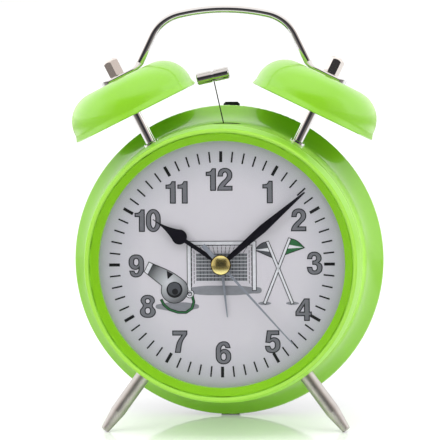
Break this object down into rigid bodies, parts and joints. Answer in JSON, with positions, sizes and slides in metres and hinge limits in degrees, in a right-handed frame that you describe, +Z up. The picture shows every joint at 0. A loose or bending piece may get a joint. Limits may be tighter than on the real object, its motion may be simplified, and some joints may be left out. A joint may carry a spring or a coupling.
{
  "type": "twin bell alarm clock",
  "caption": "Round twin bell alarm clock on turned feet, with a bent rod handle, a hammer between the bells and a printed dial behind a flat lens.",
  "frame": {"origin": "on the table, under the middle of the clock's bounding box", "axes": "+X to the right seen from the front, +Y from the dial to the back, +Z up"},
  "size_m": [0.12, 0.0668, 0.1595],
  "materials": {
    "green_paint": "gloss lime green",
    "clear_lens": "clear",
    "printed_dial": "satin print",
    "black_plastic": "fine satin",
    "white_plastic": "natural",
    "chrome_steel": "polished",
    "nickel_steel": "satin",
    "magnet_black": "matt",
    "copper_wire": "enamelled",
    "board_green": "satin",
    "battery_label": "label",
    "hand_black": "painted black",
    "hand_grey": "painted grey",
    "cap_gold": "polished"
  },
  "bodies": {
    "clock": {"case_drum": "green_paint", "bezel": "green_paint", "lens": "clear_lens", "dial": "printed_dial", "dial_carrier": "white_plastic", "rear_cover": "black_plastic", "cover_screws": "nickel_steel", "foot_left": "nickel_steel", "foot_right": "nickel_steel", "foot_nuts": "nickel_steel", "bell_post_left": "chrome_steel", "bell_post_right": "chrome_steel", "post_washers": "chrome_steel", "post_nuts": "nickel_steel", "bell_left": "green_paint", "bell_right": "green_paint", "handle": "chrome_steel", "cap_nut_left": "chrome_steel", "cap_nut_right": "chrome_steel", "hammer_pivot_pin": "chrome_steel", "hammer_bracket": "nickel_steel", "bracket_screws": "nickel_steel", "hammer_coil": "copper_wire", "coil_bobbin": "white_plastic", "coil_core": "nickel_steel", "movement_front_housing": "white_plastic", "middle_plate": "white_plastic", "movement_rear_housing": "black_plastic", "circuit_board": "board_green", "quartz_crystal": "nickel_steel", "motor_stator": "nickel_steel", "motor_coil": "copper_wire", "alarm_contact": "nickel_steel", "battery": "battery_label", "battery_contacts": "nickel_steel", "button_leaf": "nickel_steel"},
    "hammer": {"hammer_head": "chrome_steel", "hammer_wire": "nickel_steel", "hammer_hub": "white_plastic", "hammer_magnet": "magnet_black"},
    "seconds_train": {"second_hand": "hand_grey", "hand_cap": "cap_gold", "seconds_wheel": "white_plastic"},
    "intermediate": {"intermediate_wheel": "white_plastic"},
    "rotor": {"motor_rotor": "white_plastic"},
    "third": {"third_wheel": "white_plastic"},
    "centre": {"centre_wheel": "white_plastic"},
    "time_setter": {"minute_wheel": "white_plastic", "time_knob": "black_plastic"},
    "minute_train": {"minute_hand": "hand_black", "minute_pipe": "white_plastic"},
    "hour_train": {"hour_hand": "hand_black", "hour_wheel": "white_plastic"},
    "alarm_setter": {"alarm_set_arbor": "white_plastic", "alarm_knob": "black_plastic"},
    "alarm_train": {"alarm_hand": "hand_grey", "alarm_wheel": "white_plastic"},
    "snooze": {"snooze_button": "black_plastic"},
    "alarm_slider": {"alarm_switch": "black_plastic"},
    "battery_lid": {"battery_door": "black_plastic"}
  },
  "joints": [
    {"name": "hammer_swing", "type": "hinge", "parent": "clock", "child": "hammer", "pos_m": [0.001, 0.00448, 0.10894], "axis": [0, 0.9907, -0.1357], "range_deg": [0, 19.8]},
    {"name": "seconds", "type": "hinge", "parent": "clock", "child": "seconds_train", "pos_m": [0, -0.01478, 0.06414], "axis": [0, 0.9907, -0.1357], "continuous": true},
    {"name": "intermediate_spin", "type": "hinge", "parent": "clock", "child": "intermediate", "pos_m": [0, -0.00769, 0.07164], "axis": [0, 0.9907, -0.1357], "continuous": true},
    {"name": "rotor_spin", "type": "hinge", "parent": "clock", "child": "rotor", "pos_m": [0.0042, -0.0077, 0.07899], "axis": [0, 0.9907, -0.1357], "continuous": true},
    {"name": "third_spin", "type": "hinge", "parent": "clock", "child": "third", "pos_m": [0, -0.00999, 0.0549], "axis": [0, 0.9907, -0.1357], "continuous": true},
    {"name": "centre_spin", "type": "hinge", "parent": "clock", "child": "centre", "pos_m": [0, -0.01052, 0.06355], "axis": [0, 0.9907, -0.1357], "continuous": true},
    {"name": "time_setting", "type": "hinge", "parent": "clock", "child": "time_setter", "pos_m": [0.0104, 0.00585, 0.06737], "axis": [0, 0.9907, -0.1357], "continuous": true},
    {"name": "minutes", "type": "hinge", "parent": "clock", "child": "minute_train", "pos_m": [0, -0.01676, 0.06441], "axis": [0, 0.9907, -0.1357], "continuous": true},
    {"name": "hours", "type": "hinge", "parent": "clock", "child": "hour_train", "pos_m": [0, -0.01676, 0.06441], "axis": [0, 0.9907, -0.1357], "continuous": true},
    {"name": "alarm_setting", "type": "hinge", "parent": "clock", "child": "alarm_setter", "pos_m": [-0.0104, 0.00585, 0.06737], "axis": [0, 0.9907, -0.1357], "continuous": true},
    {"name": "alarm_time", "type": "hinge", "parent": "clock", "child": "alarm_train", "pos_m": [0, -0.01676, 0.06441], "axis": [0, 0.9907, -0.1357], "continuous": true},
    {"name": "snooze_press", "type": "slide", "parent": "clock", "child": "snooze", "axis": [0, -0.1357, -0.9907], "range_m": [0, 0.0012], "stiffness_N_per_m": 400, "springref_m": -0.0008, "deforming": ["button_leaf"]},
    {"name": "alarm_switch_slide", "type": "slide", "parent": "clock", "child": "alarm_slider", "axis": [1, 0, 0], "range_m": [0, 0.004]},
    {"name": "battery_door_slide", "type": "slide", "parent": "clock", "child": "battery_lid", "axis": [1, 0, 0], "range_m": [0, 0.03]}
  ],
  "couplings": [
    {"joint": "intermediate_spin", "follows": "seconds", "ratio": -5},
    {"joint": "rotor_spin", "follows": "seconds", "ratio": 30},
    {"joint": "third_spin", "follows": "seconds", "ratio": -0.125},
    {"joint": "centre_spin", "follows": "seconds", "ratio": 0.016667},
    {"joint": "minutes", "follows": "time_setting", "ratio": -3},
    {"joint": "hours", "follows": "time_setting", "ratio": -0.25},
    {"joint": "alarm_time", "follows": "alarm_setting", "ratio": -0.33333}
  ]
}
